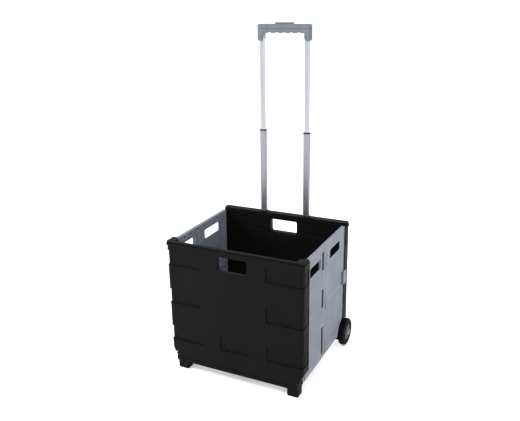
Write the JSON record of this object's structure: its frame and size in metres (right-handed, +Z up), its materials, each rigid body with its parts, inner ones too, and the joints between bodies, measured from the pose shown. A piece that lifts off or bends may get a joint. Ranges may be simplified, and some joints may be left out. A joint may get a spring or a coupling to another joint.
{
  "type": "folding shopping trolley",
  "caption": "Folding box trolley: ribbed plastic crate with hinged sides and floor, rear wheels, front feet and a telescopic pull handle.",
  "frame": {"origin": "on the ground, under the middle of the footprint of crate and wheels", "axes": "+Z up, +Y towards the handle and wheels, +X to the right seen from the front"},
  "size_m": [0.4554, 0.384, 0.9835],
  "materials": {
    "black_shell": "moulded black polypropylene, fine satin texture",
    "grey_panel": "moulded blue-grey polypropylene, satin",
    "handle_grey": "moulded grey polypropylene, satin",
    "black_trim": "moulded black nylon",
    "tube": "drawn and anodised aluminium tube",
    "steel": "zinc-plated steel",
    "tyre": "black tyre rubber, matt",
    "hub": "moulded grey polypropylene",
    "bush": "natural nylon",
    "pad": "black rubber"
  },
  "bodies": {
    "crate_back": {"back_panel": "black_shell", "guide_tube_right": "tube", "guide_tube_left": "tube", "guide_collar_right": "black_trim", "guide_collar_left": "black_trim", "guide_screws": "steel", "floor_hinge_pin": "steel", "back_hinge_pin_right": "steel", "back_hinge_pin_left": "steel", "axle_right": "steel", "axle_left": "steel", "axle_clip_right": "steel", "axle_clip_left": "steel"},
    "floor": {"floor_panel": "black_shell"},
    "rear_half_right": {"side_rear_right": "grey_panel", "mid_hinge_pin_right": "steel"},
    "front_half_right": {"side_front_right": "grey_panel"},
    "crate_front": {"front_panel": "black_shell", "front_hinge_pin_right": "steel", "front_hinge_pin_left": "steel", "foot_pad_right": "pad", "foot_pad_left": "pad"},
    "rear_half_left": {"side_rear_left": "grey_panel", "mid_hinge_pin_left": "steel"},
    "front_half_left": {"side_front_left": "grey_panel"},
    "latch_right": {"side_latch_right": "grey_panel"},
    "latch_left": {"side_latch_left": "grey_panel"},
    "middle_stage": {"middle_tube_right": "tube", "middle_tube_left": "tube", "middle_bush_right": "black_trim", "middle_bush_left": "black_trim", "middle_collar_right": "black_trim", "middle_collar_left": "black_trim"},
    "upper_stage": {"upper_tube_right": "tube", "upper_tube_left": "tube", "upper_bush_right": "black_trim", "upper_bush_left": "black_trim", "lock_pin_right": "steel", "lock_pin_left": "steel", "handle_body": "handle_grey", "handle_cap": "handle_grey", "handle_screws": "steel"},
    "release": {"release_button": "handle_grey", "release_rod_right": "steel", "release_rod_left": "steel", "button_springs": "steel"},
    "wheel_right": {"tyre_right": "tyre", "hub_right": "hub", "wheel_bush_right": "bush", "hub_cap_right": "hub"},
    "wheel_left": {"tyre_left": "tyre", "hub_left": "hub", "wheel_bush_left": "bush", "hub_cap_left": "hub"}
  },
  "joints": [
    {"name": "crate_fold", "type": "hinge", "parent": "crate_back", "child": "rear_half_right", "pos_m": [0.20435, 0.1395, 0.22], "axis": [0, 0, -1], "range_deg": [0, 78]},
    {"name": "mid_fold_right", "type": "hinge", "parent": "rear_half_right", "child": "front_half_right", "pos_m": [0.2075, -0.015, 0.22], "axis": [0, 0, 1], "range_deg": [0, 156]},
    {"name": "front_fold_right", "type": "hinge", "parent": "front_half_right", "child": "crate_front", "pos_m": [0.20435, -0.1695, 0.22], "axis": [0, 0, -1], "range_deg": [0, 78]},
    {"name": "rear_fold_left", "type": "hinge", "parent": "crate_back", "child": "rear_half_left", "pos_m": [-0.20435, 0.1395, 0.22], "axis": [0, 0, 1], "range_deg": [0, 78]},
    {"name": "mid_fold_left", "type": "hinge", "parent": "rear_half_left", "child": "front_half_left", "pos_m": [-0.2075, -0.015, 0.22], "axis": [0, 0, -1], "range_deg": [0, 156]},
    {"name": "floor_fold", "type": "hinge", "parent": "crate_back", "child": "floor", "pos_m": [0, 0.1511, 0.048], "axis": [-1, 0, 0], "range_deg": [-90, 0]},
    {"name": "latch_slide_right", "type": "slide", "parent": "rear_half_right", "child": "latch_right", "axis": [0, -1, 0], "range_m": [0, 0.012]},
    {"name": "latch_slide_left", "type": "slide", "parent": "rear_half_left", "child": "latch_left", "axis": [0, -1, 0], "range_m": [0, 0.012]},
    {"name": "handle_lower_slide", "type": "slide", "parent": "crate_back", "child": "middle_stage", "axis": [0, 0, 1], "range_m": [-0.247, 0]},
    {"name": "handle_upper_slide", "type": "slide", "parent": "middle_stage", "child": "upper_stage", "axis": [0, 0, 1], "range_m": [-0.256, 0]},
    {"name": "release_press", "type": "slide", "parent": "upper_stage", "child": "release", "axis": [0, 0, -1], "range_m": [0, 0.004], "stiffness_N_per_m": 600, "springref_m": -0.004},
    {"name": "wheel_spin_right", "type": "hinge", "parent": "crate_back", "child": "wheel_right", "pos_m": [0.214, 0.1495, 0.0425], "axis": [1, 0, 0], "continuous": true},
    {"name": "wheel_spin_left", "type": "hinge", "parent": "crate_back", "child": "wheel_left", "pos_m": [-0.214, 0.1495, 0.0425], "axis": [1, 0, 0], "continuous": true}
  ],
  "couplings": [
    {"joint": "mid_fold_right", "follows": "crate_fold", "ratio": 2},
    {"joint": "front_fold_right", "follows": "crate_fold", "ratio": 1},
    {"joint": "rear_fold_left", "follows": "crate_fold", "ratio": 1},
    {"joint": "mid_fold_left", "follows": "crate_fold", "ratio": 2}
  ]
}
